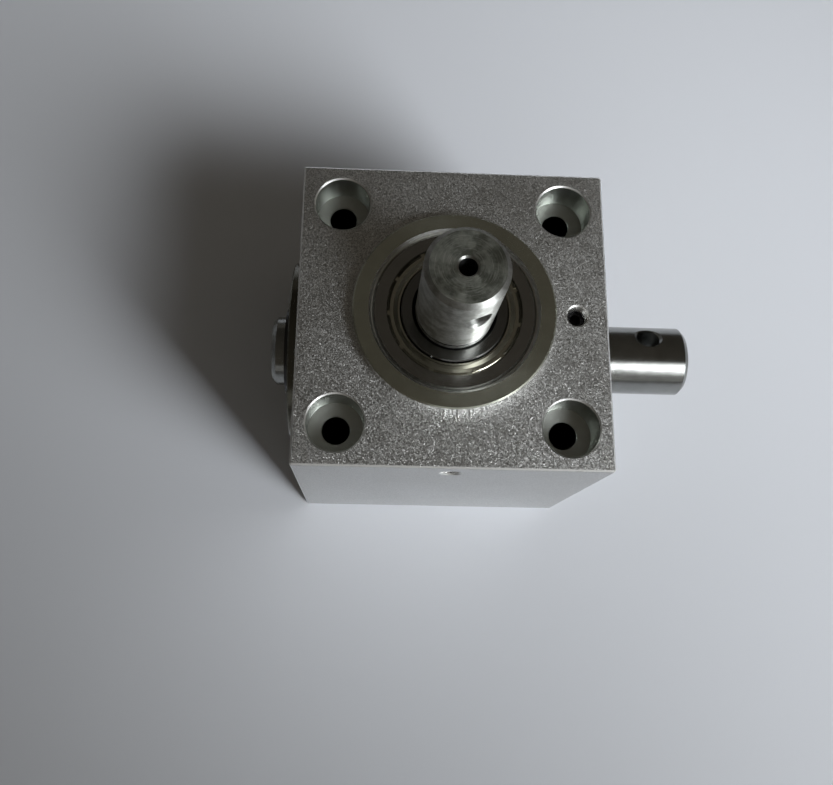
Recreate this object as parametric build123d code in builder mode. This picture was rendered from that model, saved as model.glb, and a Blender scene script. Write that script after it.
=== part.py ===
"""Right angle bevel gearbox: a cube of aluminium with two crossed shafts on mitre gears.

The input shaft stands up through the top face. The output shaft lies across the cube and ends in
a short stub on the far side. Each shaft end runs in a bearing cartridge that slides into the cube
and is locked there by a set screw.

Frame: millimetres, origin at the centre of the cube's bottom face, +Z up along the input shaft,
+X along the long end of the output shaft.
"""

from build123d import *
import math
import os

os.makedirs("parts", exist_ok=True)

# ---------------------------------------------------------------- driving dimensions, millimetres

CUBE = 60.0                     # side of the housing
HALF = CUBE / 2                 # also the height at which the two shaft axes cross
EDGE_CHAMFER = 0.35

CARTRIDGE_RADIUS = 18.0         # spigot of a cartridge, and the bores of the housing
TOP_BORE_DEPTH = 24.0
FLANGE_RADIUS = 19.5
FLANGE_HEIGHT = 2.5             # how far a flange stands out of its face
FLANGE_EDGE = 0.3
MOUTH_BEVEL = 0.4
LIP_RADIUS = 14.0               # hole in the inner lip that holds a bearing in
LIP_THICKNESS = 1.4
LONG_LIP_THICKNESS = 2.8
SPIGOT_CHAMFER = 0.6
LOCK_GROOVE_DEPTH = 0.6         # groove round the spigot that the set screw bears in
LOCK_GROOVE_HALF_WIDTH = 1.3

HOLE_SPACING = 44.0             # the four mounting holes
HOLE_RADIUS = 2.65
HOLE_MOUTH_CHAMFER = 0.15
COUNTERBORE_RADIUS = 5.4
COUNTERBORE_DEPTH = 7.5
COUNTERBORE_CHAMFER = 0.3
COUNTERBORE_FLOOR_ANGLE = 160.0  # its floor is a shallow cone
DRILL_POINT_ANGLE = 118.0

SCREW_RADIUS = 2.0              # M4 set screws
SCREW_LENGTH = 10.0
SCREW_GAP = 0.05                # radial room between a screw and its hole
SCREW_SOCKET_FLATS = 2.0
SCREW_SOCKET_DEPTH = 2.4
SCREW_TIP_CHAMFER = 0.75
SCREW_TOP_CHAMFER = 0.3
SCREW_HOLE_CHAMFER = 0.3
SCREW_TO_FACE = 6.0             # from the outside of a cartridge's face in to its set screw

SHAFT_RADIUS = 7.5
SHAFT_REACH = 24.0              # how far the long shaft ends stand out of the housing
STUB_REACH = 6.9                # the same for the stub on the far side
SHAFT_END_CHAMFER = 0.9
END_HOLE_RADIUS = 1.65          # tapping hole in the end of each long shaft
END_HOLE_DEPTH = 5.0
END_HOLE_CHAMFER = 0.35
CROSS_HOLE_RADIUS = 2.5
CROSS_HOLE_TO_FACE = 15.5       # from the housing's face out to the cross hole
CROSS_HOLE_SINK = 0.55          # depth of the 90 degree countersink at each mouth
CROSS_HOLE_TO_SEAM = 52.5       # degrees round the shaft from its surface's seam to the hole
INPUT_HOLE_TURN = -68.0         # degrees from +X round +Z
OUTPUT_HOLE_TURN = 61.0         # degrees from +Y round +X
NECK_RADIUS = 7.05              # relief groove where a long shaft end leaves its bearing
NECK_WIDTH = 1.1
INPUT_TAIL_RADIUS = 6.0         # stepped-down end that carries the input gear
INPUT_TAIL_START = 8.2          # from the crossing point up to the end of the tail
TAIL_CHAMFER = 0.5

TEETH = 18                      # mitre gears, one to one
MODULE = 1.5
PRESSURE_ANGLE = math.radians(20)
FACE_WIDTH = 5.0
BACKLASH = 0.16                 # taken off each tooth's thickness at the pitch line
DEDENDUM = 1.25 * MODULE
TOOTH_ROOT_SINK = 0.4           # how far a tooth's root is sunk in its gear's body
FLANK_STEPS = 4
HUB_RADIUS = 10.0
SHOULDER_RADIUS = 11.6          # the hub bearing's inner ring rests on this shoulder

KEY_WIDTH = 4.0
KEY_HEIGHT = 4.0
KEY_LENGTH = 9.0
KEY_SINK = 2.5                  # how deep the key lies in the shaft
KEY_START = 12.5                # from the crossing point up to the key
KEYWAY_ROOM = 0.2               # gap above the key in the hub
PIN_RADIUS = 1.5
PIN_BORE_RADIUS = 0.9
PIN_SLIT = 0.5
PIN_LENGTH = 19.6
PIN_TO_CROSSING = 19.0

CIRCLIP_THICKNESS = 1.0
GROOVE_WIDTH = 1.1
# Circlip for the 15 mm shaft: the radii are of the groove, of the eccentric body and of the lugs
SHAFT_CIRCLIP = dict(groove=7.15, body=9.2, offset=0.25, lug=1.75, lug_centre=8.95, hole=0.85)
# Circlip for the 12 mm tail of the input shaft
TAIL_CIRCLIP = dict(groove=5.75, body=7.3, offset=0.2, lug=1.4, lug_centre=7.3, hole=0.7)
LUG_SPREAD = 14.0               # degrees from the middle of the gap to each lug
CIRCLIP_GAP = 2.0
SHIM_RADIUS = 10.0
SHIM_THICKNESS = 1.2

BEARING_PROUD = 1.8             # the outer bearings' faces stand this far out of the housing
# 15 x 32 x 9 shielded bearing, where each shaft end leaves the housing
LARGE_BEARING = dict(
    bore=7.5, outside=16.0, width=9.0, ball=2.381, count=9, pitch=11.75, inner_land=10.25,
    outer_land=12.8, corner=0.7, land_edge=0.2, step_radius=13.0, step_depth=1.2, cage_half_width=2.7,
)
# 20 x 32 x 7 open bearing, on the hub of the input gear
HUB_BEARING = dict(
    bore=10.0, outside=16.0, width=7.0, ball=1.75, count=14, pitch=13.05, inner_land=12.0,
    outer_land=14.1, corner=0.4, land_edge=0.15, step_radius=14.3, step_depth=0.2, cage_half_width=2.0,
)
BALL_GAP = 0.02                 # between a ball and either raceway
RACEWAY_FACTOR = 1.04           # raceway radius over ball radius
CAGE_HALF_THICKNESS = 0.45
POCKET_GAP = 0.08

SHIELD_INNER_RADIUS = 10.5
SHIELD_BEVEL_INNER = 10.85
SHIELD_BEVEL_OUTER = 11.7
SHIELD_RIM_RADIUS = 12.35       # inside of the crimped rim
SHIELD_RIM_CREST = 12.6
SHIELD_SHEET = 0.25
SHIELD_SINK = 0.45              # from the bearing's face in to the shield's flat
SHIELD_DISH = 0.3               # how much deeper its inner edge lies
SHIELD_RIM_RISE = 0.25
SHIELD_NOTCHES = 11
SHIELD_NOTCH_TURN = 20.8        # degrees from the seat's own X to the first notch
SHIELD_NOTCH_WIDTH = 0.9
SHIELD_NOTCH_LENGTH = 0.5

# ------------------------------------------------------------------------------- derived places

CROSSING = Vector(0, 0, HALF)
INPUT_AXIS = Plane(origin=CROSSING, x_dir=(1, 0, 0), z_dir=(0, 0, 1))
OUTPUT_AXIS = Plane(origin=CROSSING, x_dir=(0, 1, 0), z_dir=(1, 0, 0))
STUB_AXIS = Plane(origin=CROSSING, x_dir=(0, 0, 1), z_dir=(-1, 0, 0))
INPUT_FACE = INPUT_AXIS.offset(HALF)
OUTPUT_FACE = OUTPUT_AXIS.offset(HALF)

# Where each set screw enters the housing, with +Z out of its hole: the input cartridge's screw is
# in the front face, the output cartridge's is in the top and the stub cartridge's is underneath.
SCREW_SEATS = {
    "input": Plane(origin=(0, -HALF, CUBE - SCREW_TO_FACE), x_dir=(1, 0, 0), z_dir=(0, -1, 0)),
    "output": Plane(origin=(HALF - SCREW_TO_FACE, 0, CUBE), x_dir=(0, 1, 0), z_dir=(0, 0, 1)),
    "stub": Plane(origin=(SCREW_TO_FACE - HALF, 0, 0), x_dir=(0, 1, 0), z_dir=(0, 0, -1)),
}

# Distances along a shaft's axis, from the crossing point outwards
BEARING_FRONT = HALF + BEARING_PROUD
BEARING_BACK = BEARING_FRONT - LARGE_BEARING["width"]
HUB_BEARING_BACK = BEARING_BACK - HUB_BEARING["width"]
CROSS_HOLE_HEIGHT = HALF + CROSS_HOLE_TO_FACE
SHAFT_END = HALF + SHAFT_REACH

PITCH_RADIUS = MODULE * TEETH / 2
TOE_SCALE = 1 - FACE_WIDTH / (PITCH_RADIUS * math.sqrt(2))
HEEL_ROOT_RADIUS = PITCH_RADIUS - DEDENDUM / math.sqrt(2)
HEEL_ROOT_HEIGHT = PITCH_RADIUS + DEDENDUM / math.sqrt(2)
GEAR_FRONT = HEEL_ROOT_HEIGHT * TOE_SCALE
GEAR_BACK = HEEL_ROOT_HEIGHT + HEEL_ROOT_RADIUS - SHOULDER_RADIUS


def save(piece, name):
    """Label a finished piece and write it as the node of that name."""
    piece.part.label = name
    export_step(piece.part, f"parts/{name}.step")


def half_section(seat):
    """Plane through a seat's axis: its X is the radius and its Y runs along the axis."""
    return Plane(origin=seat.origin, x_dir=seat.x_dir, z_dir=-seat.y_dir)


def turned(seat, degrees):
    """A seat turned about its own axis."""
    x_dir = seat.x_dir.rotate(Axis((0, 0, 0), seat.z_dir), degrees)
    return Plane(origin=seat.origin, x_dir=x_dir, z_dir=seat.z_dir)


def spin(seat, outline, mode=Mode.ADD):
    """Turn a closed (radius, height) outline round the seat's axis, in the part being built."""
    with BuildSketch(half_section(seat)) as section:
        with BuildLine():
            Polyline(*outline, close=True)
        make_face()
    revolve(section.sketch, axis=Axis(seat.origin, seat.z_dir), mode=mode)


# --------------------------------------------------------------------------------- the housing


def make_housing():
    """The cube, its crossed bores, its counterbored corner holes and its set screw holes."""
    floor_slope = math.tan(math.radians(COUNTERBORE_FLOOR_ANGLE / 2))
    cone_height = (COUNTERBORE_RADIUS - HOLE_RADIUS) / floor_slope
    with BuildPart() as housing:
        with Locations((0, 0, HALF)):
            Box(CUBE, CUBE, CUBE)
        chamfer(housing.edges(), EDGE_CHAMFER)

        with BuildSketch(OUTPUT_FACE):
            Circle(CARTRIDGE_RADIUS)
        extrude(amount=-CUBE, mode=Mode.SUBTRACT)
        with BuildSketch(INPUT_FACE):
            Circle(CARTRIDGE_RADIUS)
        extrude(amount=-TOP_BORE_DEPTH, mode=Mode.SUBTRACT)

        with Locations(INPUT_FACE):
            with GridLocations(HOLE_SPACING, HOLE_SPACING, 2, 2):
                Hole(HOLE_RADIUS, depth=CUBE)
                Hole(COUNTERBORE_RADIUS, depth=COUNTERBORE_DEPTH)
        with Locations(INPUT_FACE.offset(-COUNTERBORE_DEPTH)):
            with GridLocations(HOLE_SPACING, HOLE_SPACING, 2, 2):
                Cone(
                    bottom_radius=HOLE_RADIUS,
                    top_radius=COUNTERBORE_RADIUS,
                    height=cone_height,
                    align=(Align.CENTER, Align.CENTER, Align.MAX),
                    mode=Mode.SUBTRACT,
                )
        rims = housing.faces().sort_by(Axis.Z)[-1].edges().filter_by(GeomType.CIRCLE)
        chamfer([rim for rim in rims if rim.radius < CARTRIDGE_RADIUS / 2], COUNTERBORE_CHAMFER)
        mouth_height = CUBE - COUNTERBORE_DEPTH - cone_height
        mouths = housing.edges().filter_by_position(Axis.Z, mouth_height - 0.01, mouth_height + 0.01)
        chamfer(mouths, HOLE_MOUTH_CHAMFER)

        for screw_seat in SCREW_SEATS.values():
            with Locations(screw_seat):
                CounterSinkHole(
                    radius=SCREW_RADIUS,
                    counter_sink_radius=SCREW_RADIUS + SCREW_HOLE_CHAMFER,
                    counter_sink_angle=90,
                    depth=HALF - CARTRIDGE_RADIUS + 1,
                )
    return housing


def make_cartridge(axis_plane, lip_thickness, seat_floor):
    """A flanged bearing cartridge. Heights run outwards from the crossing point."""
    bearing_radius = LARGE_BEARING["outside"]
    spigot_end = seat_floor - lip_thickness
    flange_face = HALF + FLANGE_HEIGHT
    groove = HALF - SCREW_TO_FACE
    groove_bottom = CARTRIDGE_RADIUS - LOCK_GROOVE_DEPTH
    groove_mouth = LOCK_GROOVE_HALF_WIDTH + LOCK_GROOVE_DEPTH
    with BuildPart() as cartridge:
        spin(axis_plane, [
            (LIP_RADIUS, spigot_end),
            (CARTRIDGE_RADIUS - SPIGOT_CHAMFER, spigot_end),
            (CARTRIDGE_RADIUS, spigot_end + SPIGOT_CHAMFER),
            (CARTRIDGE_RADIUS, groove - groove_mouth),
            (groove_bottom, groove - LOCK_GROOVE_HALF_WIDTH),
            (groove_bottom, groove + LOCK_GROOVE_HALF_WIDTH),
            (CARTRIDGE_RADIUS, groove + groove_mouth),
            (CARTRIDGE_RADIUS, HALF),
            (FLANGE_RADIUS, HALF),
            (FLANGE_RADIUS, flange_face - FLANGE_EDGE),
            (FLANGE_RADIUS - FLANGE_EDGE, flange_face),
            (bearing_radius + MOUTH_BEVEL, flange_face),
            (bearing_radius, flange_face - MOUTH_BEVEL),
            (bearing_radius, seat_floor),
            (LIP_RADIUS, seat_floor),
        ])
    return cartridge


def make_set_screw(screw_seat):
    """A hexagon socket set screw whose chamfered tip bears in the cartridge's groove."""
    tip_depth = HALF - CARTRIDGE_RADIUS + LOCK_GROOVE_DEPTH
    socket_face = screw_seat.offset(SCREW_LENGTH - tip_depth)
    radius = SCREW_RADIUS - SCREW_GAP
    with BuildPart() as screw:
        spin(socket_face, [
            (0, 0),
            (radius - SCREW_TOP_CHAMFER, 0),
            (radius, -SCREW_TOP_CHAMFER),
            (radius, SCREW_TIP_CHAMFER - SCREW_LENGTH),
            (radius - SCREW_TIP_CHAMFER, -SCREW_LENGTH),
            (0, -SCREW_LENGTH),
        ])
        with BuildSketch(socket_face):
            RegularPolygon(SCREW_SOCKET_FLATS / 2, 6, major_radius=False)
        extrude(amount=-SCREW_SOCKET_DEPTH, mode=Mode.SUBTRACT)
    return screw


# --------------------------------------------------------------------------------- the bearings


def raceway(middle, groove_centre, groove_radius):
    """Cut a round-bottomed raceway round the middle of the ring being built."""
    with BuildSketch(half_section(middle)) as section:
        with Locations((groove_centre, 0)):
            Circle(groove_radius)
    revolve(section.sketch, axis=Axis(middle.origin, middle.z_dir), mode=Mode.SUBTRACT)


def make_inner_ring(middle, size):
    """Inner ring of a bearing, with its raceway. middle is the bearing's middle plane."""
    half = size["width"] / 2
    groove_radius = size["ball"] * RACEWAY_FACTOR
    corner = size["corner"]
    edge = size["land_edge"]
    with BuildPart() as ring:
        spin(middle, [
            (size["bore"], -half + corner),
            (size["bore"] + corner, -half),
            (size["inner_land"] - edge, -half),
            (size["inner_land"], -half + edge),
            (size["inner_land"], half - edge),
            (size["inner_land"] - edge, half),
            (size["bore"] + corner, half),
            (size["bore"], half - corner),
        ])
        raceway(middle, size["pitch"] - size["ball"] - BALL_GAP + groove_radius, groove_radius)
    return ring


def make_outer_ring(middle, size):
    """Outer ring of a bearing, with its raceway and the steps that hold its shields."""
    half = size["width"] / 2
    groove_radius = size["ball"] * RACEWAY_FACTOR
    corner = size["corner"]
    step = half - size["step_depth"]
    with BuildPart() as ring:
        spin(middle, [
            (size["outer_land"], -step),
            (size["step_radius"], -step),
            (size["step_radius"], -half),
            (size["outside"] - corner, -half),
            (size["outside"], -half + corner),
            (size["outside"], half - corner),
            (size["outside"] - corner, half),
            (size["step_radius"], half),
            (size["step_radius"], step),
            (size["outer_land"], step),
        ])
        raceway(middle, size["pitch"] + size["ball"] + BALL_GAP - groove_radius, groove_radius)
    return ring


def make_balls(middle, size):
    """The balls of one bearing, as separate solids."""
    with BuildPart(middle) as balls:
        with PolarLocations(size["pitch"], size["count"]):
            Sphere(size["ball"])
    return balls


def make_cage(middle, size):
    """The cage of one bearing: a thin ring with a round pocket drilled for each ball."""
    half = size["cage_half_width"]
    inner = size["pitch"] - CAGE_HALF_THICKNESS
    outer = size["pitch"] + CAGE_HALF_THICKNESS
    with BuildPart(middle) as cage:
        spin(middle, [(inner, -half), (outer, -half), (outer, half), (inner, half)])
        with PolarLocations(size["pitch"], size["count"]):
            Cylinder(
                radius=size["ball"] + POCKET_GAP,
                height=4 * CAGE_HALF_THICKNESS,
                rotation=(0, 90, 0),
                mode=Mode.SUBTRACT,
            )
    return cage


def make_shield(end_face):
    """A pressed steel shield with a notched rim. end_face is the bearing's end, +Z outwards."""
    flat = -SHIELD_SINK
    dish = flat - SHIELD_DISH
    crest = flat + SHIELD_RIM_RISE
    with BuildPart(end_face) as shield:
        spin(end_face, [
            (SHIELD_INNER_RADIUS, dish - SHIELD_SHEET),
            (SHIELD_BEVEL_INNER, dish - SHIELD_SHEET),
            (SHIELD_BEVEL_OUTER, flat - SHIELD_SHEET),
            (SHIELD_RIM_RADIUS, flat - SHIELD_SHEET),
            (SHIELD_RIM_CREST, -LARGE_BEARING["step_depth"]),
            (LARGE_BEARING["step_radius"], -LARGE_BEARING["step_depth"]),
            (LARGE_BEARING["step_radius"], flat),
            (SHIELD_RIM_CREST, crest),
            (SHIELD_RIM_RADIUS, flat),
            (SHIELD_BEVEL_OUTER, flat),
            (SHIELD_BEVEL_INNER, dish),
            (SHIELD_INNER_RADIUS, dish),
        ])
        with Locations((0, 0, crest)):
            with PolarLocations(SHIELD_RIM_CREST, SHIELD_NOTCHES, start_angle=SHIELD_NOTCH_TURN):
                Box(SHIELD_NOTCH_LENGTH, SHIELD_NOTCH_WIDTH, 3 * SHIELD_RIM_RISE, mode=Mode.SUBTRACT)
    return shield


# ------------------------------------------------------------------------------------ the gears


def involute(angle):
    """The involute function of a pressure angle in radians."""
    return math.tan(angle) - angle


def tooth_flank(scale):
    """One flank of a tooth from root to tip, as (offset, height) points from the pitch line.

    The tooth is drawn square to the pitch cone, where a bevel tooth has the shape of a spur tooth
    on a larger gear. scale draws it in towards the apex.
    """
    pitch = PITCH_RADIUS * math.sqrt(2)
    base = pitch * math.cos(PRESSURE_ANGLE)
    tip = pitch + MODULE
    root = pitch - DEDENDUM - TOOTH_ROOT_SINK
    base_angle = (math.pi * MODULE / 2 - BACKLASH) / 2 / pitch + involute(PRESSURE_ANGLE)
    points = [(root * math.sin(base_angle), root * math.cos(base_angle) - pitch)]
    for step in range(FLANK_STEPS + 1):
        radius = base + (tip - base) * step / FLANK_STEPS
        angle = base_angle - involute(math.acos(base / radius))
        points.append((radius * math.sin(angle), radius * math.cos(angle) - pitch))
    return [(offset * scale, height * scale) for offset, height in points]


def make_tooth():
    """One straight bevel tooth: apex at the origin, gear's axis +Z, the tooth's middle at +X."""
    with BuildPart() as tooth:
        for scale in (1.0, TOE_SCALE):
            middle = PITCH_RADIUS * scale
            right = tooth_flank(scale)
            left = [(-offset, height) for offset, height in reversed(right)]
            with BuildSketch(Plane(origin=(middle, 0, middle), x_dir=(0, 1, 0), z_dir=(-1, 0, -1))):
                with BuildLine():
                    Polyline(*right, *left, close=True)
                make_face()
        loft(ruled=True)
    return tooth


def gear_body(bore, hub):
    """Outline of a gear's body: its root cone and back, then the given points of its hub."""
    return [
        (bore, GEAR_FRONT),
        (HEEL_ROOT_RADIUS * TOE_SCALE, GEAR_FRONT),
        (HEEL_ROOT_RADIUS, HEEL_ROOT_HEIGHT),
        (SHOULDER_RADIUS, GEAR_BACK),
        *hub,
        (HUB_RADIUS, BEARING_BACK),
        (bore, BEARING_BACK),
    ]


def make_output_gear(tooth):
    """The gear of the through shaft, with a cross hole in its hub for the roll pin."""
    with BuildPart(OUTPUT_AXIS) as gear:
        spin(OUTPUT_AXIS, gear_body(SHAFT_RADIUS, [(HUB_RADIUS, GEAR_BACK)]))
        with PolarLocations(0, TEETH, start_angle=90):
            add(tooth.part)
        with BuildSketch(Plane.XY.offset(HALF - HUB_RADIUS)):
            with Locations((PIN_TO_CROSSING, 0)):
                Circle(PIN_RADIUS)
        extrude(amount=2 * HUB_RADIUS, mode=Mode.SUBTRACT)
    return gear


def make_input_gear(tooth):
    """The gear of the input shaft, half a tooth out of step with its mate, with a keyway."""
    shoulder = [(SHOULDER_RADIUS, HUB_BEARING_BACK), (HUB_RADIUS, HUB_BEARING_BACK)]
    keyway_top = INPUT_TAIL_RADIUS - KEY_SINK + KEY_HEIGHT + KEYWAY_ROOM
    with BuildPart(INPUT_AXIS) as gear:
        spin(INPUT_AXIS, gear_body(INPUT_TAIL_RADIUS, shoulder))
        with PolarLocations(0, TEETH, start_angle=180 / TEETH):
            add(tooth.part)
        with BuildSketch(INPUT_AXIS.offset(GEAR_FRONT)):
            with Locations((keyway_top / 2, 0)):
                Rectangle(keyway_top, KEY_WIDTH)
        extrude(amount=BEARING_BACK - GEAR_FRONT, mode=Mode.SUBTRACT)
    return gear


# ----------------------------------------------------------------------------------- the shafts


def free_end():
    """Outline of a shaft's long end: relief neck at its bearing, chamfer and tapping hole."""
    drill_point = END_HOLE_RADIUS / math.tan(math.radians(DRILL_POINT_ANGLE / 2))
    return [
        (SHAFT_RADIUS, BEARING_FRONT),
        (NECK_RADIUS, BEARING_FRONT),
        (NECK_RADIUS, BEARING_FRONT + NECK_WIDTH),
        (SHAFT_RADIUS, BEARING_FRONT + NECK_WIDTH),
        (SHAFT_RADIUS, SHAFT_END - SHAFT_END_CHAMFER),
        (SHAFT_RADIUS - SHAFT_END_CHAMFER, SHAFT_END),
        (END_HOLE_RADIUS + END_HOLE_CHAMFER, SHAFT_END),
        (END_HOLE_RADIUS, SHAFT_END - END_HOLE_CHAMFER),
        (END_HOLE_RADIUS, SHAFT_END - END_HOLE_DEPTH),
        (0, SHAFT_END - END_HOLE_DEPTH - drill_point),
    ]


def cross_hole(seat, turn):
    """Drill a countersunk hole right through the free end of the shaft being built."""
    middle = turned(seat, turn).offset(CROSS_HOLE_HEIGHT)
    with BuildSketch(Plane(origin=middle.origin, z_dir=middle.x_dir)) as mouth:
        Circle(CROSS_HOLE_RADIUS)
    extrude(mouth.sketch, amount=2 * SHAFT_RADIUS, both=True, mode=Mode.SUBTRACT)
    for direction in (middle.x_dir, -middle.x_dir):
        sink_floor = middle.origin + direction * (SHAFT_RADIUS - CROSS_HOLE_SINK)
        with Locations(Plane(origin=sink_floor, z_dir=direction)):
            Cone(
                bottom_radius=CROSS_HOLE_RADIUS,
                top_radius=CROSS_HOLE_RADIUS + 2 * CROSS_HOLE_SINK,
                height=2 * CROSS_HOLE_SINK,
                align=(Align.CENTER, Align.CENTER, Align.MIN),
                mode=Mode.SUBTRACT,
            )


def key_plane():
    """Plane of the key's underside: its X runs up the shaft and it faces +X."""
    height = HALF + KEY_START + KEY_LENGTH / 2
    return Plane(origin=(INPUT_TAIL_RADIUS - KEY_SINK, 0, height), x_dir=(0, 0, 1), z_dir=(1, 0, 0))


def make_input_shaft():
    """The upright shaft: its tail in the gear, its neck at the bearing, its drilled free end."""
    clip_top = GEAR_FRONT
    clip_bottom = clip_top - GROOVE_WIDTH
    with BuildPart() as shaft:
        spin(turned(INPUT_AXIS, INPUT_HOLE_TURN - CROSS_HOLE_TO_SEAM), [
            (0, INPUT_TAIL_START),
            (INPUT_TAIL_RADIUS - TAIL_CHAMFER, INPUT_TAIL_START),
            (INPUT_TAIL_RADIUS, INPUT_TAIL_START + TAIL_CHAMFER),
            (INPUT_TAIL_RADIUS, clip_bottom),
            (TAIL_CIRCLIP["groove"], clip_bottom),
            (TAIL_CIRCLIP["groove"], clip_top),
            (INPUT_TAIL_RADIUS, clip_top),
            (INPUT_TAIL_RADIUS, BEARING_BACK),
            (SHAFT_RADIUS, BEARING_BACK),
            *free_end(),
        ])
        cross_hole(INPUT_AXIS, INPUT_HOLE_TURN)
        with BuildSketch(key_plane()) as key_slot:
            SlotOverall(KEY_LENGTH, KEY_WIDTH)
        extrude(key_slot.sketch, amount=KEY_HEIGHT, mode=Mode.SUBTRACT)
    return shaft


def make_output_shaft():
    """The through shaft: stub end, circlip grooves at its bearing, pin hole, drilled free end."""
    inner_clip = -BEARING_BACK
    outer_clip = -BEARING_FRONT - SHIM_THICKNESS
    stub_end = -HALF - STUB_REACH
    with BuildPart() as shaft:
        spin(turned(OUTPUT_AXIS, OUTPUT_HOLE_TURN - CROSS_HOLE_TO_SEAM), [
            (0, stub_end),
            (SHAFT_RADIUS - SHAFT_END_CHAMFER, stub_end),
            (SHAFT_RADIUS, stub_end + SHAFT_END_CHAMFER),
            (SHAFT_RADIUS, outer_clip - GROOVE_WIDTH),
            (SHAFT_CIRCLIP["groove"], outer_clip - GROOVE_WIDTH),
            (SHAFT_CIRCLIP["groove"], outer_clip),
            (SHAFT_RADIUS, outer_clip),
            (SHAFT_RADIUS, inner_clip),
            (SHAFT_CIRCLIP["groove"], inner_clip),
            (SHAFT_CIRCLIP["groove"], inner_clip + GROOVE_WIDTH),
            (SHAFT_RADIUS, inner_clip + GROOVE_WIDTH),
            *free_end(),
        ])
        cross_hole(OUTPUT_AXIS, OUTPUT_HOLE_TURN)
        with BuildSketch(Plane.XY.offset(HALF - SHAFT_RADIUS)) as pin_hole:
            with Locations((PIN_TO_CROSSING, 0)):
                Circle(PIN_RADIUS)
        extrude(pin_hole.sketch, amount=2 * SHAFT_RADIUS, mode=Mode.SUBTRACT)
    return shaft


# ------------------------------------------------------------------------- keys, pins and clips


def make_key():
    """Round-ended key between the input shaft and its gear."""
    with BuildPart() as key:
        with BuildSketch(key_plane()):
            SlotOverall(KEY_LENGTH, KEY_WIDTH)
        extrude(amount=KEY_HEIGHT)
    return key


def make_roll_pin():
    """Slit spring pin through the output gear's hub and its shaft."""
    with BuildPart() as pin:
        with BuildSketch(Plane.XY.offset(HALF - PIN_LENGTH / 2)):
            with Locations((PIN_TO_CROSSING, 0)):
                Circle(PIN_RADIUS)
                Circle(PIN_BORE_RADIUS, mode=Mode.SUBTRACT)
            with Locations((PIN_TO_CROSSING + PIN_RADIUS, 0)):
                Rectangle(2 * PIN_RADIUS, PIN_SLIT, mode=Mode.SUBTRACT)
        extrude(amount=PIN_LENGTH)
    return pin


def make_circlip(back_face, size):
    """An external circlip with two eared ends, standing on back_face; its gap is at local -X."""
    with BuildPart() as clip:
        with BuildSketch(back_face):
            with Locations((size["offset"], 0)):
                Circle(size["body"])
            with PolarLocations(size["lug_centre"], 2, 180 - LUG_SPREAD, 2 * LUG_SPREAD, endpoint=True):
                Circle(size["lug"])
            Circle(size["groove"], mode=Mode.SUBTRACT)
            with Locations((-size["lug_centre"], 0)):
                Rectangle(4 * size["lug"], CIRCLIP_GAP, mode=Mode.SUBTRACT)
            with PolarLocations(size["lug_centre"], 2, 180 - LUG_SPREAD, 2 * LUG_SPREAD, endpoint=True):
                Circle(size["hole"], mode=Mode.SUBTRACT)
        extrude(amount=CIRCLIP_THICKNESS)
    return clip


def make_shim():
    """Flat ring between the stub bearing and its outer circlip."""
    with BuildPart() as shim:
        with BuildSketch(STUB_AXIS.offset(BEARING_FRONT)):
            Circle(SHIM_RADIUS)
            Circle(SHAFT_RADIUS, mode=Mode.SUBTRACT)
        extrude(amount=SHIM_THICKNESS)
    return shim


# ----------------------------------------------------------------------------------- the pieces

save(make_housing(), "housing")

save(make_cartridge(INPUT_AXIS, LIP_THICKNESS, HUB_BEARING_BACK), "input_cartridge")
save(make_cartridge(OUTPUT_AXIS, LONG_LIP_THICKNESS, BEARING_BACK), "output_cartridge")
save(make_cartridge(STUB_AXIS, LONG_LIP_THICKNESS, BEARING_BACK), "stub_cartridge")
for cartridge_name, seat_plane in SCREW_SEATS.items():
    save(make_set_screw(seat_plane), f"{cartridge_name}_set_screw")

for bearing_name, axis_plane in {"input": INPUT_AXIS, "output": OUTPUT_AXIS, "stub": STUB_AXIS}.items():
    middle_plane = axis_plane.offset(BEARING_FRONT - LARGE_BEARING["width"] / 2)
    save(make_outer_ring(middle_plane, LARGE_BEARING), f"{bearing_name}_bearing_outer_ring")
    save(make_inner_ring(middle_plane, LARGE_BEARING), f"{bearing_name}_bearing_inner_ring")
    save(make_balls(middle_plane, LARGE_BEARING), f"{bearing_name}_bearing_balls")
    save(make_cage(middle_plane, LARGE_BEARING), f"{bearing_name}_bearing_cage")
    save(make_shield(axis_plane.offset(BEARING_FRONT)), f"{bearing_name}_bearing_outer_shield")
    back_plane = Plane(
        origin=axis_plane.offset(BEARING_BACK).origin, x_dir=axis_plane.x_dir, z_dir=-axis_plane.z_dir
    )
    save(make_shield(back_plane), f"{bearing_name}_bearing_inner_shield")

hub_bearing_plane = INPUT_AXIS.offset(BEARING_BACK - HUB_BEARING["width"] / 2)
save(make_outer_ring(hub_bearing_plane, HUB_BEARING), "hub_bearing_outer_ring")
save(make_inner_ring(hub_bearing_plane, HUB_BEARING), "hub_bearing_inner_ring")
save(make_balls(hub_bearing_plane, HUB_BEARING), "hub_bearing_balls")
save(make_cage(hub_bearing_plane, HUB_BEARING), "hub_bearing_cage")

bevel_tooth = make_tooth()
save(make_input_gear(bevel_tooth), "input_gear")
save(make_output_gear(bevel_tooth), "output_gear")
save(make_input_shaft(), "input_shaft")
save(make_output_shaft(), "output_shaft")

save(make_key(), "input_gear_key")
save(make_roll_pin(), "output_gear_pin")
save(make_circlip(INPUT_AXIS.offset(GEAR_FRONT - CIRCLIP_THICKNESS), TAIL_CIRCLIP), "input_circlip")
save(make_circlip(STUB_AXIS.offset(BEARING_BACK - CIRCLIP_THICKNESS), SHAFT_CIRCLIP), "stub_inner_circlip")
save(make_shim(), "stub_shim")
save(make_circlip(STUB_AXIS.offset(BEARING_FRONT + SHIM_THICKNESS), SHAFT_CIRCLIP), "stub_outer_circlip")
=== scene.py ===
"""Looks of the right angle bevel gearbox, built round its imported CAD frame. Metres, +Z up."""

import math

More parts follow.
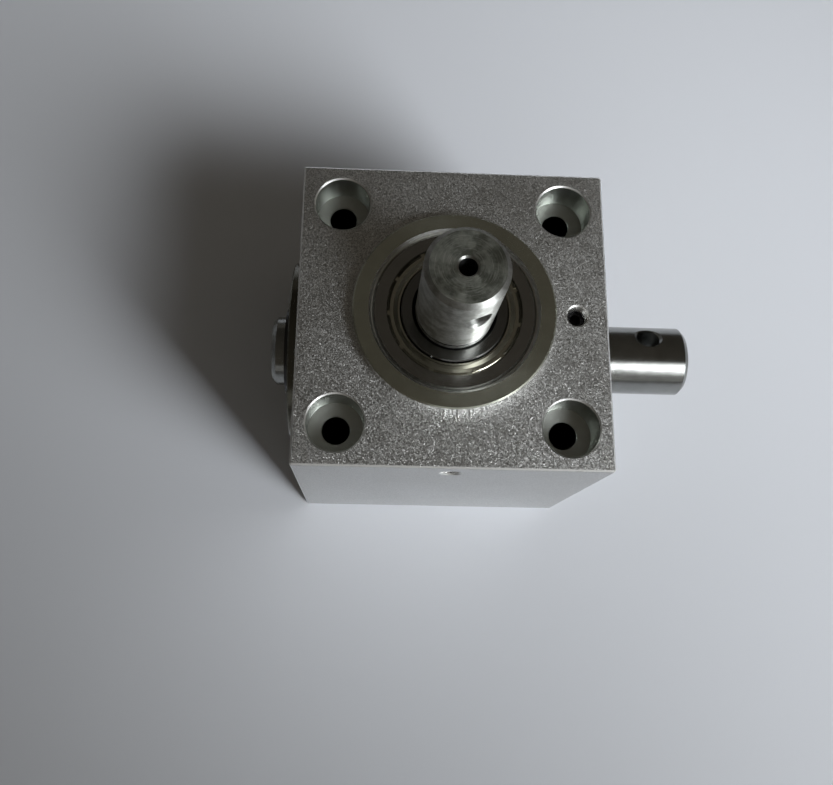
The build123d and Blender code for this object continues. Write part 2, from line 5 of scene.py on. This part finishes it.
import bmesh
import bpy
from mathutils import Euler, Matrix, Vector


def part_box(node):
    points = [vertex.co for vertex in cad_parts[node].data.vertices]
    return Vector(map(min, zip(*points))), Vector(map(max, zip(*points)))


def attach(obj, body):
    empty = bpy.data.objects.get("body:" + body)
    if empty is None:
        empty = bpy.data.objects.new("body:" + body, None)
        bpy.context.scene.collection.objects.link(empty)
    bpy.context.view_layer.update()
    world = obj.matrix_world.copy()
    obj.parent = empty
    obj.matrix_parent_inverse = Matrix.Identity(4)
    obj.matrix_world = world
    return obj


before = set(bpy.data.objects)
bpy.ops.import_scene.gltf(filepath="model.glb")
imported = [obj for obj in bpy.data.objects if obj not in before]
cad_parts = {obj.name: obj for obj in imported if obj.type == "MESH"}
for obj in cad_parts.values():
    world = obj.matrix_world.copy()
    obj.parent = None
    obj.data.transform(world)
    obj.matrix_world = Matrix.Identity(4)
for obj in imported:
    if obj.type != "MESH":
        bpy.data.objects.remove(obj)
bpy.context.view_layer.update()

MM = 0.001
HOUSING_LOW, HOUSING_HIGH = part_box("housing")
CUBE = HOUSING_HIGH.z - HOUSING_LOW.z
CROSSING = Vector((0.0, 0.0, CUBE / 2))       # where the two shaft axes meet
SHAFT_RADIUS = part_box("input_shaft")[1].x
SHAFT_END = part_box("input_shaft")[1].z - CUBE / 2    # from the crossing out to a long end
NECK_MIDDLE = 32.1 * MM                       # from the crossing out to the neck at the bearing
NECK_REACH = 1 * MM                           # all of the neck lies within this of its middle
NECK_DEPTH = 0.2 * MM                         # and lies deeper than this below the shaft's surface
FLANGE_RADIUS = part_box("input_cartridge")[1].x
BEARING_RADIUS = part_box("input_bearing_outer_ring")[1].x
MOUTH_RADIUS = BEARING_RADIUS + 0.4 * MM      # outside of the bevel round a cartridge's mouth
END_HOLE_RADIUS = 1.65 * MM
END_HOLE_MIDDLE = 3.4 * MM                    # from a shaft's end in to the middle of its hole, painted black as shade
END_HOLE_REACH = 3 * MM                       # from there to either end of the dark part
HOLE_OFFSET = 22 * MM                         # the corner holes, from the middle of the top face
HOLE_RADIUS = 2.65 * MM
COUNTERBORE_RADIUS = 5.4 * MM
HOLE_TOP = 51.9 * MM                          # where the drilled holes open into the counterbores
FACE_SKIN = 0.02 * MM                         # how near a point must be to count as on a face

# ------------------------------------------------------------------------- camera, floor, lights

CAMERA_PLACE = Vector((-16.7, -55.2, 222.0)) * MM
CAMERA_TILT = (16.90, -2.93, 0.83)            # degrees about X, Y, Z
CAMERA_LENS = 38.65
CAMERA_SHIFT = (0.0126, -0.063)

FLOOR_SIZE = 6.0
FLOOR_COLOUR = (0.76, 0.78, 0.83)
WORLD_COLOUR = (1.0, 0.90, 0.74)
WORLD_DIM, WORLD_LIGHT = 0.018, 0.105         # strength of the room's dim side and its light side
WORLD_TOWARDS = (0.8, -0.6, 0.0)              # the way to the room's light side

# Each light: what it is aimed at, its distance, azimuth from +X round +Z, elevation, size, power,
# spread in degrees and colour
LIGHTS = {
    "window": ((0.10, 0.08, 0.0), 0.62, -49, 37, (0.34, 0.44), 0.67, 50, (0.95, 0.98, 1.0)),
    "bright_wall": ((0.0, 0.0, 0.02), 0.62, -58, 16, (1.15, 0.30), 0.34, 180, (0.95, 0.98, 1.0)),
    "back_wall": ((0.0, 0.0, 0.02), 0.80, 125, 13, (1.30, 0.30), 0.08, 180, (1.0, 0.96, 0.88)),
}


def make_camera():
    """The camera, at the viewing angle of the picture that the part was made from."""
    camera = bpy.data.objects.new("camera", bpy.data.cameras.new("camera"))
    bpy.context.scene.collection.objects.link(camera)
    camera.location = CAMERA_PLACE
    camera.rotation_euler = Euler([math.radians(angle) for angle in CAMERA_TILT], "XYZ")
    camera.data.lens = CAMERA_LENS
    camera.data.shift_x, camera.data.shift_y = CAMERA_SHIFT
    camera.data.clip_start = MM
    bpy.context.scene.camera = camera


def make_floor():
    """A plain pale floor under the part."""
    bpy.ops.mesh.primitive_plane_add(size=FLOOR_SIZE, location=(0, 0, HOUSING_LOW.z))
    floor = bpy.context.object
    floor.name = "floor"
    finish = Finish("floor", FLOOR_COLOUR, metallic=0.0, roughness=0.6)
    floor.data.materials.append(finish.material)


def make_lights():
    """Daylight from a window at the front right, and light from two walls."""
    for name, (aim, distance, azimuth, elevation, size, power, spread, colour) in LIGHTS.items():
        data = bpy.data.lights.new(name, "AREA")
        data.shape = "RECTANGLE"
        data.size, data.size_y = size
        data.energy = power
        data.color = colour
        data.spread = math.radians(spread)
        light = bpy.data.objects.new(name, data)
        outwards = Euler((math.radians(90 - elevation), 0, math.radians(azimuth + 90)), "XYZ")
        light.location = Vector(aim) + outwards.to_matrix() @ Vector((0, 0, distance))
        light.rotation_euler = outwards
        bpy.context.scene.collection.objects.link(light)


def make_room():
    """The light of the room itself: warm, and stronger towards its light side."""
    world = bpy.data.worlds.new("world")
    world.use_nodes = True
    nodes, links = world.node_tree.nodes, world.node_tree.links
    background = nodes["Background"]
    background.inputs["Color"].default_value = (*WORLD_COLOUR, 1)
    facing = nodes.new("ShaderNodeVectorMath")
    facing.operation = "DOT_PRODUCT"
    facing.inputs[1].default_value = WORLD_TOWARDS
    links.new(nodes.new("ShaderNodeTexCoord").outputs["Generated"], facing.inputs[0])
    strength = nodes.new("ShaderNodeMapRange")
    strength.inputs["From Min"].default_value = -1    # straight away from the light side
    strength.inputs["To Min"].default_value = WORLD_DIM
    strength.inputs["To Max"].default_value = WORLD_LIGHT
    links.new(facing.outputs["Value"], strength.inputs["Value"])
    links.new(strength.outputs["Result"], background.inputs["Strength"])
    bpy.context.scene.world = world
    bpy.context.scene.view_settings.view_transform = "Standard"


# ------------------------------------------------------------------------------------- materials

# Scales are in cells to the metre, but round a shaft's end to the radian. A pair of numbers is the
# least and the most of something.
MIDDLE_GREY = (0.5, 0.5, 0.5)   # the middle of a random colour, taken off to centre it on nothing
QUARTER_TURN = 0.25             # as a part of a whole turn
SCATTER_SCALE = 12000           # grinding marks that run every way
SCATTER_STRENGTH = 12.0

GRAIN_SCALE = 7000              # the housing's blasted grain
FACET_TILT = 0.38               # how far blasting tips the facets of the top face
SIDE_GRAIN_AND_GLINT = 0.35               # the grain's strength on the other faces, next to the top's; its flecks are partly painted glints
EVEN_SHADE = 0.42               # shade of a face with no grain, from dark 0 to light 1
BLOTCH_SCALE = 90
BLOTCH_RANGE = (0.3, 0.7)       # of the noise that is drawn out into roughness
BLASTED_ROUGHNESS = (0.40, 0.46)
MACHINED_ROUGHNESS = 0.36
HOUSING_RING_SCALE = 7000
HOUSING_RING_DEPTH = 0.012 * MM
ALUMINIUM = (0.6, 0.6, 0.6)
BLAST_DARK, BLAST_LIGHT = (0.38, 0.38, 0.375), (0.90, 0.90, 0.89)
BARE_EDGE = (0.95, 0.95, 0.93)
COUNTERBORE = (0.52, 0.54, 0.51)
# painted shade inside the drilled holes
DRILLED_HOLE_SHADE = (0.02, 0.02, 0.022)

TURNED_RING_SCALE = 6000        # turned pieces: cartridges, bearing rings and shields
TURNED_WEAR_SCALE = 300
TURNED_WEAR_RANGE = (0.3, 0.65)
WEAR_RANGE = (0.3, 0.75)        # for roughness, on turned pieces and shafts
TURNED_UNEVENNESS = (0.94, 1.08)  # least and most of the roughness, next to the finish's own
TURNED_STRETCH = 0.6            # how far their highlights are drawn out
LINE_DEPTH = 0.006 * MM
SHIELD_LINE_DEPTH = 0.003 * MM
WORN, SHIELD_WORN = 0.9, 0.97   # shade of the worn patches, next to the rest
POLISHED_RIM, RIM_ROUGHNESS = (0.92, 0.92, 0.90), 0.08
BRIGHT_MOUTH, MOUTH_ROUGHNESS = (0.90, 0.90, 0.87), 0.28
BORE_SHADE_BLACK = (0.02, 0.02, 0.02)
BORE_EDGE = 0.6 * MM            # how much of an inner ring's bevelled bore is painted black as shade
RING_RIM = 0.25 * MM            # width of an outer ring's polished rim

SHAFT_RING_SCALE = 5000
SHAFT_RING_DEPTH = 0.012 * MM
SHAFT_STRETCH = 0.9
SIDE_RELIEF, END_RELIEF = 0.6, 0.5
ARC_SCALE_OUTWARDS = 4500       # the scratched arcs on a shaft's end
ARC_SCALE_ROUND = 1.6
SCRATCH_DEPTH = 0.006 * MM
SCRATCH_RELIEF = 0.8
SCRATCH_SHADE = 0.45
SMUDGE_SCALE = 420
SIDE_STAIN_RANGE, END_STAIN_RANGE = (0.38, 0.60), (0.40, 0.60)
SCRATCH_RANGE = (0.52, 0.72)
SPECK_RANGE = (0.71, 0.76)
SIDE_UNEVENNESS = (0.92, 1.08)
SPECK_SCALE = 2600
SPECK_SHADE = 0.75
END_ROUGHNESS = (0.30, 0.42)
SHAFT_STEEL = (0.56, 0.565, 0.55)
END_DARK, END_LIGHT = (0.25, 0.27, 0.235), (0.44, 0.46, 0.41)
SCRATCH = (0.8, 0.8, 0.76)
SPECK = (0.10, 0.10, 0.09)
# painted shade for the end hole and the neck
SHAFT_SHADE_BLACK = (0.015, 0.015, 0.015)
# For each shaft, by its axis: the roughness of its side, the colour and the colour of its stains
SHAFT_SIDES = {
    "Z": (0.48, (0.62, 0.63, 0.61), (0.40, 0.405, 0.38)),
    # Painted shade: the output shaft is the same steel as the input shaft, given a darker colour and
    # stain for how dark it looks in this light
    "X": (0.25, (0.33, 0.335, 0.325), (0.28, 0.285, 0.275)),
}

PLAIN_WEAR_SCALE = 400          # small pieces
PLAIN_WORN = 0.75
PLAIN_WEAR_RANGE = (0.3, 0.7)
PLAIN_UNEVENNESS = (0.8, 1.25)
PLAIN_GRAIN_SCALE = 3000
PLAIN_GRAIN_DEPTH = 0.01 * MM

# The colour and roughness of each metal
CARTRIDGE_STEEL = (0.69, 0.71, 0.61), 0.24
# Painted shade: the left cartridge is the same steel as the others, darkened for the shade on that side
STUB_SHADE_STEEL = (0.15, 0.145, 0.12), 0.24
# Painted shade: inner rings are darker than the outer rings, for the shade round the shaft's foot
INNER_RING_STEEL = (0.22, 0.22, 0.215), 0.16
OUTER_RING_STEEL = (0.38, 0.375, 0.36), 0.16
SHIELD_STEEL = (0.52, 0.50, 0.42), 0.17
BALL_STEEL = (0.7, 0.7, 0.71), 0.06
CAGE_STEEL = (0.55, 0.52, 0.46), 0.35
GEAR_STEEL = (0.4, 0.4, 0.41), 0.3
BLACK_STEEL = (0.09, 0.09, 0.095), 0.35
THREAD_METAL = (0.68, 0.68, 0.66), 0.28


class Finish:
    """A principled material and short ways to add nodes to it."""

    def __init__(self, name, colour, metallic, roughness):
        self.material = bpy.data.materials.new(name)
        self.material.use_nodes = True
        self.tree = self.material.node_tree
        self.shader = self.tree.nodes["Principled BSDF"]
        self.shader.inputs["Base Color"].default_value = (*colour, 1)
        self.shader.inputs["Metallic"].default_value = metallic
        self.shader.inputs["Roughness"].default_value = roughness

    def node(self, kind, **settings):
        node = self.tree.nodes.new(kind)
        for key, value in settings.items():
            setattr(node, key, value)
        return node

    def put(self, socket, value):
        """Feed a socket from another socket, or set it to a constant."""
        if isinstance(value, bpy.types.NodeSocket):
            self.tree.links.new(value, socket)
        else:
            socket.default_value = value

    def maths(self, operation, *values):
        node = self.node("ShaderNodeMath", operation=operation)
        for socket, value in zip(node.inputs, values):
            self.put(socket, value)
        return node.outputs[0]

    def vector_maths(self, operation, *values):
        node = self.node("ShaderNodeVectorMath", operation=operation)
        for socket, value in zip(node.inputs, values):
            self.put(socket, value)
        return node.outputs["Value" if operation == "LENGTH" else "Vector"]

    def place(self):
        """The point on the part, in metres, as it lies at rest."""
        return self.node("ShaderNodeTexCoord").outputs["Object"]

    def combine(self, x, y, z):
        node = self.node("ShaderNodeCombineXYZ")
        for socket, value in zip(node.inputs, (x, y, z)):
            self.put(socket, value)
        return node.outputs[0]

    def separate(self, vector):
        node = self.node("ShaderNodeSeparateXYZ")
        self.put(node.inputs[0], vector)
        return node.outputs

    def noise(self, vector, scale, detail=2.0, roughness=0.5):
        node = self.node("ShaderNodeTexNoise")
        self.put(node.inputs["Vector"], vector)
        node.inputs["Scale"].default_value = scale
        node.inputs["Detail"].default_value = detail
        node.inputs["Roughness"].default_value = roughness
        return node.outputs["Fac"]

    def cells(self, vector, scale):
        """Three random numbers for each small cell of space."""
        node = self.node("ShaderNodeTexVoronoi")
        self.put(node.inputs["Vector"], vector)
        node.inputs["Scale"].default_value = scale
        return node.outputs["Color"]

    def scaled(self, vector, factor):
        node = self.node("ShaderNodeVectorMath", operation="SCALE")
        self.put(node.inputs[0], vector)
        self.put(node.inputs["Scale"], factor)
        return node.outputs["Vector"]

    def flakes(self, cells, tilt, below):
        """Tip each cell of the surface its own way, like the facets that blasting leaves."""
        facets = self.scaled(self.vector_maths("SUBTRACT", cells, MIDDLE_GREY), tilt)
        return self.vector_maths("NORMALIZE", self.vector_maths("ADD", below, facets))

    def grind(self, axis, amount, scatter=None):
        """Stretch highlights across the grinding marks, which run round the axis.

        scatter is where the marks run every way instead.
        """
        tangent = self.node("ShaderNodeTangent", direction_type="RADIAL", axis=axis).outputs["Tangent"]
        if scatter is not None:
            node = self.node("ShaderNodeTexNoise")
            self.put(node.inputs["Vector"], self.place())
            node.inputs["Scale"].default_value = SCATTER_SCALE
            random = self.vector_maths("SUBTRACT", node.outputs["Color"], MIDDLE_GREY)
            random = self.scaled(random, self.maths("MULTIPLY", scatter, SCATTER_STRENGTH))
            tangent = self.vector_maths("ADD", tangent, random)
        self.shader.inputs["Anisotropic"].default_value = amount
        self.shader.inputs["Anisotropic Rotation"].default_value = QUARTER_TURN
        self.put(self.shader.inputs["Tangent"], tangent)

    def spread(self, value, low, high, out_low, out_high):
        """Map a value from one range to another, with both ends held."""
        node = self.node("ShaderNodeMapRange", clamp=True)
        self.put(node.inputs["Value"], value)
        for name, number in zip(("From Min", "From Max"), (low, high)):
            self.put(node.inputs[name], number)
        for name, number in zip(("To Min", "To Max"), (out_low, out_high)):
            self.put(node.inputs[name], number)
        return node.outputs["Result"]

    def mix_colour(self, factor, first, second):
        node = self.node("ShaderNodeMix", data_type="RGBA")
        self.put(node.inputs[0], factor)
        self.put(node.inputs[6], first if isinstance(first, bpy.types.NodeSocket) else (*first, 1))
        self.put(node.inputs[7], second if isinstance(second, bpy.types.NodeSocket) else (*second, 1))
        return node.outputs[2]

    def mix(self, factor, first, second):
        node = self.node("ShaderNodeMix", data_type="FLOAT")
        self.put(node.inputs[0], factor)
        self.put(node.inputs[2], first)
        self.put(node.inputs[3], second)
        return node.outputs[0]

    def bump(self, height, strength, distance, below=None):
        """Add relief; below is the normal of relief that lies under it."""
        node = self.node("ShaderNodeBump")
        self.put(node.inputs["Height"], height)
        self.put(node.inputs["Strength"], strength)
        node.inputs["Distance"].default_value = distance
        if below is not None:
            self.put(node.inputs["Normal"], below)
        return node.outputs["Normal"]

    def colour(self, value):
        self.put(self.shader.inputs["Base Color"], value)

    def roughness(self, value):
        self.put(self.shader.inputs["Roughness"], value)

    def normal(self, value):
        self.put(self.shader.inputs["Normal"], value)


def lathe_coordinates(finish, axis):
    """Radius, height and angle of the point about a shaft's axis, in metres and radians."""
    x, y, z = finish.separate(finish.vector_maths("SUBTRACT", finish.place(), CROSSING))
    across, along = ((x, y), z) if axis == "Z" else ((y, z), x)
    radius = finish.vector_maths("LENGTH", finish.combine(*across, 0.0))
    angle = finish.maths("ARCTAN2", across[1], across[0])
    return radius, along, angle


def housing_finish():
    """Sand-blasted aluminium on the six faces, machined metal in the counterbores and on the edges.

    The drilled holes are painted near black as shade.
    """
    finish = Finish("blasted_aluminium", ALUMINIUM, metallic=1.0, roughness=0.45)
    place = finish.place()
    x, y, z = finish.separate(finish.vector_maths("SUBTRACT", place, CROSSING))
    sideways, forwards = finish.maths("ABSOLUTE", x), finish.maths("ABSOLUTE", y)
    furthest = finish.maths("MAXIMUM", sideways, forwards)
    furthest = finish.maths("MAXIMUM", furthest, finish.maths("ABSOLUTE", z))
    on_face = finish.maths("GREATER_THAN", furthest, CUBE / 2 - FACE_SKIN)
    on_top = finish.maths("GREATER_THAN", z, CUBE / 2 - FACE_SKIN)

    cells = finish.cells(place, GRAIN_SCALE)
    grain = finish.separate(cells)[0]
    blotch = finish.noise(place, BLOTCH_SCALE)
    # The flecks are grain and partly painted glints: full strength on the top face, weaker on the others
    contrast = finish.mix(on_top, SIDE_GRAIN_AND_GLINT, 1.0)
    fleck = finish.mix(contrast, EVEN_SHADE, grain)
    blasted = finish.mix_colour(fleck, BLAST_DARK, BLAST_LIGHT)

    # Turned rings in the counterbores, and the drilled holes below them, painted near black as shade
    from_hole_x = finish.maths("SUBTRACT", sideways, HOLE_OFFSET)
    from_hole_y = finish.maths("SUBTRACT", forwards, HOLE_OFFSET)
    hole_radius = finish.vector_maths("LENGTH", finish.combine(from_hole_x, from_hole_y, 0.0))
    rings = finish.noise(finish.combine(hole_radius, z, 0.0), HOUSING_RING_SCALE)
    drilled = finish.maths("LESS_THAN", hole_radius, HOLE_RADIUS + FACE_SKIN)
    drilled = finish.maths("MULTIPLY", drilled, finish.maths("LESS_THAN", z, HOLE_TOP - CROSSING.z))
    machined = finish.mix_colour(drilled, COUNTERBORE, DRILLED_HOLE_SHADE)
    in_hole = finish.maths("LESS_THAN", hole_radius, COUNTERBORE_RADIUS + FACE_SKIN)
    machined = finish.mix_colour(in_hole, BARE_EDGE, machined)
    finish.colour(finish.mix_colour(on_face, machined, blasted))

    blasted_rough = finish.spread(blotch, *BLOTCH_RANGE, *BLASTED_ROUGHNESS)
    finish.roughness(finish.mix(on_face, MACHINED_ROUGHNESS, blasted_rough))
    ring_relief = finish.bump(rings, finish.maths("SUBTRACT", 1.0, on_face), HOUSING_RING_DEPTH)
    tilt = finish.maths("MULTIPLY", on_face, finish.maths("MULTIPLY", contrast, FACET_TILT))
    finish.normal(finish.flakes(cells, tilt, ring_relief))
    return finish.material


def turned_finish(
    name, colour, roughness, axis, line_depth=LINE_DEPTH, worn=WORN, rim=None, bore=None, mouth=None
):
    """Steel with the fine rings that a lathe or grinding wheel leaves, and a little wear.

    Beyond the rim's radius it is polished, within the mouth's it is bright and within the bore's it is
    painted black as shade.
    """
    finish = Finish(name, colour, metallic=1.0, roughness=roughness)
    radius, along = lathe_coordinates(finish, axis)[:2]
    rings = finish.noise(finish.combine(radius, along, 0.0), TURNED_RING_SCALE, detail=3, roughness=0.65)
    wear = finish.noise(finish.place(), TURNED_WEAR_SCALE, detail=4, roughness=0.6)
    dull = tuple(channel * worn for channel in colour)
    steel = finish.mix_colour(finish.spread(wear, *TURNED_WEAR_RANGE, 0.0, 1.0), dull, colour)
    rough = finish.spread(wear, *WEAR_RANGE, *(roughness * part for part in TURNED_UNEVENNESS))
    if rim is not None:
        polished = finish.maths("GREATER_THAN", radius, rim - FACE_SKIN)
        steel = finish.mix_colour(polished, steel, POLISHED_RIM)
        rough = finish.mix(polished, rough, RIM_ROUGHNESS)
    if mouth is not None:
        bright = finish.maths("LESS_THAN", radius, mouth + FACE_SKIN)
        steel = finish.mix_colour(bright, steel, BRIGHT_MOUTH)
        rough = finish.mix(bright, rough, MOUTH_ROUGHNESS)
    # Painted shade: the bore's edge is painted black, for the shade in the gap at the shaft's foot
    if bore is not None:
        steel = finish.mix_colour(finish.maths("LESS_THAN", radius, bore), steel, BORE_SHADE_BLACK)
    finish.colour(steel)
    finish.roughness(rough)
    finish.normal(finish.bump(rings, 1.0, line_depth))
    finish.grind(axis, TURNED_STRETCH)
    return finish.material


def shaft_finish(name, axis, roughness, bright, stain):
    """Ground steel: rings round the side, scratched arcs on the end, and black painted in the end hole
    and neck as shade.

    The side is bright with patches of stain.
    """
    finish = Finish(name, SHAFT_STEEL, metallic=1.0, roughness=0.2)
    radius, along, angle = lathe_coordinates(finish, axis)
    place = finish.place()
    rings = finish.noise(finish.combine(radius, along, 0.0), SHAFT_RING_SCALE, detail=3, roughness=0.65)
    arc_outwards = finish.maths("MULTIPLY", radius, ARC_SCALE_OUTWARDS)
    arc_round = finish.maths("MULTIPLY", angle, ARC_SCALE_ROUND)
    arcs = finish.noise(finish.combine(arc_outwards, arc_round, along), 1.0)
    smudge = finish.noise(place, SMUDGE_SCALE, detail=4, roughness=0.65)
    speck = finish.noise(place, SPECK_SCALE)
    end = finish.maths("GREATER_THAN", along, SHAFT_END - FACE_SKIN)
    # Painted shade: the inside of the end hole and the neck at the bearing are painted black
    inside = finish.maths("LESS_THAN", radius, END_HOLE_RADIUS + FACE_SKIN)
    from_hole = finish.maths("ABSOLUTE", finish.maths("SUBTRACT", along, SHAFT_END - END_HOLE_MIDDLE))
    inside = finish.maths("MULTIPLY", inside, finish.maths("LESS_THAN", from_hole, END_HOLE_REACH))
    neck = finish.maths("LESS_THAN", radius, SHAFT_RADIUS - NECK_DEPTH)
    from_neck = finish.maths("ABSOLUTE", finish.maths("SUBTRACT", along, NECK_MIDDLE))
    neck = finish.maths("MULTIPLY", neck, finish.maths("LESS_THAN", from_neck, NECK_REACH))
    black = finish.maths("MAXIMUM", inside, neck)

    side_colour = finish.mix_colour(finish.spread(smudge, *SIDE_STAIN_RANGE, 0.0, 1.0), stain, bright)
    end_colour = finish.mix_colour(
        finish.spread(smudge, *END_STAIN_RANGE, 0.0, 1.0), END_DARK, END_LIGHT
    )
    scratch = finish.spread(arcs, *SCRATCH_RANGE, 0.0, 1.0)
    scratched = finish.maths("MULTIPLY", scratch, SCRATCH_SHADE)
    end_colour = finish.mix_colour(scratched, end_colour, SCRATCH)
    steel = finish.mix_colour(end, side_colour, end_colour)
    spots = finish.spread(speck, *SPECK_RANGE, 0.0, SPECK_SHADE)
    steel = finish.mix_colour(spots, steel, SPECK)
    finish.colour(finish.mix_colour(black, steel, SHAFT_SHADE_BLACK))

    side_rough = finish.spread(smudge, *WEAR_RANGE, *(roughness * part for part in SIDE_UNEVENNESS))
    end_rough = finish.spread(smudge, *WEAR_RANGE, *END_ROUGHNESS)
    finish.roughness(finish.mix(end, side_rough, end_rough))
    relief = finish.bump(rings, finish.mix(end, SIDE_RELIEF, END_RELIEF), SHAFT_RING_DEPTH)
    scratch_relief = finish.maths("MULTIPLY", end, SCRATCH_RELIEF)
    finish.normal(finish.bump(scratch, scratch_relief, SCRATCH_DEPTH, relief))
    finish.grind(axis, SHAFT_STRETCH, end)
    return finish.material


def plain_steel(name, colour, roughness, grain=0.2):
    """Small steel pieces with a slightly uneven surface."""
    finish = Finish(name, colour, metallic=1.0, roughness=roughness)
    place = finish.place()
    wear = finish.noise(place, PLAIN_WEAR_SCALE, detail=3)
    dark = tuple(channel * PLAIN_WORN for channel in colour)
    finish.colour(finish.mix_colour(wear, dark, colour))
    uneven = (roughness * part for part in PLAIN_UNEVENNESS)
    finish.roughness(finish.spread(wear, *PLAIN_WEAR_RANGE, *uneven))
    finish.normal(finish.bump(finish.noise(place, PLAIN_GRAIN_SCALE), grain, PLAIN_GRAIN_DEPTH))
    return finish.material


FINISHES = {}


def finish_for(maker, name, *details, **extras):
    """Make each finish once, by its name, and share it."""
    if name not in FINISHES:
        FINISHES[name] = maker(name, *details, **extras)
    return FINISHES[name]


def node_axis(node):
    """The axis that a turned node lies on: the upright one for the input side."""
    return "Z" if node.startswith(("input", "hub")) else "X"


def dress_frame():
    """Give every CAD node its finish."""
    for name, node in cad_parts.items():
        axis = node_axis(name)
        if name == "housing":
            material = housing_finish()
        elif name == "stub_cartridge":
            # painted shade: the left cartridge gets a darkened copy of the cartridge steel
            material = finish_for(turned_finish, "blackened_steel", *STUB_SHADE_STEEL, axis)
        elif name.endswith("cartridge"):
            material = finish_for(
                turned_finish, "turned_steel_" + axis, *CARTRIDGE_STEEL, axis,
                rim=FLANGE_RADIUS, mouth=MOUTH_RADIUS,
            )
        elif name.endswith("shaft"):
            material = finish_for(shaft_finish, "ground_shaft_" + axis, axis, *SHAFT_SIDES[axis])
        elif name.endswith("inner_ring"):
            # painted shade: darker steel, and a black bore edge, for the shade round the shaft's foot
            material = finish_for(
                turned_finish, "oiled_steel_" + axis, *INNER_RING_STEEL, axis,
                bore=SHAFT_RADIUS + BORE_EDGE,
            )
        elif name.endswith("_ring"):
            material = finish_for(
                turned_finish, "bearing_steel_" + axis, *OUTER_RING_STEEL, axis,
                rim=BEARING_RADIUS - RING_RIM,
            )
        elif name.endswith("shield"):
            material = finish_for(
                turned_finish, "shield_steel_" + axis, *SHIELD_STEEL, axis,
                line_depth=SHIELD_LINE_DEPTH, worn=SHIELD_WORN,
            )
        elif name.endswith("balls"):
            material = finish_for(plain_steel, "ball_steel", *BALL_STEEL, grain=0.05)
        elif name.endswith("cage"):
            material = finish_for(plain_steel, "cage_steel", *CAGE_STEEL)
        elif name.endswith("gear"):
            material = finish_for(plain_steel, "gear_steel", *GEAR_STEEL)
        else:
            material = finish_for(plain_steel, "black_steel", *BLACK_STEEL)
        node.data.materials.clear()
        node.data.materials.append(material)


# ------------------------------------------------------------------------------ screw hole threads

THREAD_ROOT = 1.99 * MM         # the wall of a set screw hole has a radius of 2 mm
THREAD_CREST = 1.76 * MM
THREAD_OUTSIDE = 2.06 * MM      # back of the thread's own metal, sunk in the housing
THREAD_PITCH = 0.7 * MM
THREAD_STEPS = 60               # points round a thread, and below along it
THREAD_ROWS = 42
THREAD_START = 0.34 * MM        # from the housing's face in to the thread's first turn
THREAD_GAP = 0.05 * MM          # between the last turn and the set screw
THREAD_FADE = 0.3               # turns over which the first thread grows to full height
THREAD_SHARPNESS = 1.25         # 1 for flanks that meet at the root, more for a flat root


def make_thread(name, mouth, inwards, length):
    """The cut thread between a hole's mouth and its set screw, as a closed sleeve."""
    mesh = bmesh.new()
    inwards = Vector(inwards)
    across = inwards.orthogonal().normalized()
    other = inwards.cross(across)

    def ring(radius_at, depth):
        points = []
        for step in range(THREAD_STEPS):
            angle = 2 * math.pi * step / THREAD_STEPS
            outwards = across * math.cos(angle) + other * math.sin(angle)
            points.append(mesh.verts.new(mouth + inwards * depth + outwards * radius_at(angle)))
        return points

    def thread_radius(depth):
        def radius_at(angle):
            phase = (depth / THREAD_PITCH + angle / (2 * math.pi)) % 1.0
            fade = min(1.0, (depth - THREAD_START) / (THREAD_FADE * THREAD_PITCH))
            crest = max(0.0, 1 - abs(2 * phase - 1) * THREAD_SHARPNESS) * fade
            return THREAD_ROOT + (THREAD_CREST - THREAD_ROOT) * crest
        return radius_at

    rows = []
    for row in range(THREAD_ROWS + 1):
        depth = THREAD_START + (length - THREAD_START) * row / THREAD_ROWS
        rows.append(ring(thread_radius(depth), depth))
    rows.append(ring(lambda angle: THREAD_OUTSIDE, length))
    rows.append(ring(lambda angle: THREAD_OUTSIDE, THREAD_START))
    rows.append(rows[0])
    for first, second in zip(rows, rows[1:]):
        for step in range(THREAD_STEPS):
            after = (step + 1) % THREAD_STEPS
            mesh.faces.new((first[step], first[after], second[after], second[step]))
    bmesh.ops.recalc_face_normals(mesh, faces=mesh.faces)
    data = bpy.data.meshes.new(name)
    mesh.to_mesh(data)
    mesh.free()
    thread = bpy.data.objects.new(name, data)
    bpy.context.scene.collection.objects.link(thread)
    material = finish_for(plain_steel, "cut_thread", *THREAD_METAL, grain=0.1)
    thread.data.materials.append(material)
    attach(thread, "housing")


def make_threads():
    """One thread above each set screw, from the screw's own place in the frame."""
    for owner in ("input", "output", "stub"):
        low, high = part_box(owner + "_set_screw")
        middle = (low + high) / 2
        if owner == "input":
            mouth = Vector((middle.x, HOUSING_LOW.y, middle.z))
            make_thread(owner + "_screw_thread", mouth, (0, 1, 0), low.y - mouth.y - THREAD_GAP)
        elif owner == "output":
            mouth = Vector((middle.x, middle.y, HOUSING_HIGH.z))
            make_thread(owner + "_screw_thread", mouth, (0, 0, -1), mouth.z - high.z - THREAD_GAP)
        else:
            mouth = Vector((middle.x, middle.y, HOUSING_LOW.z))
            make_thread(owner + "_screw_thread", mouth, (0, 0, 1), low.z - mouth.z - THREAD_GAP)


make_camera()
make_floor()
make_lights()
make_room()
dress_frame()
make_threads()
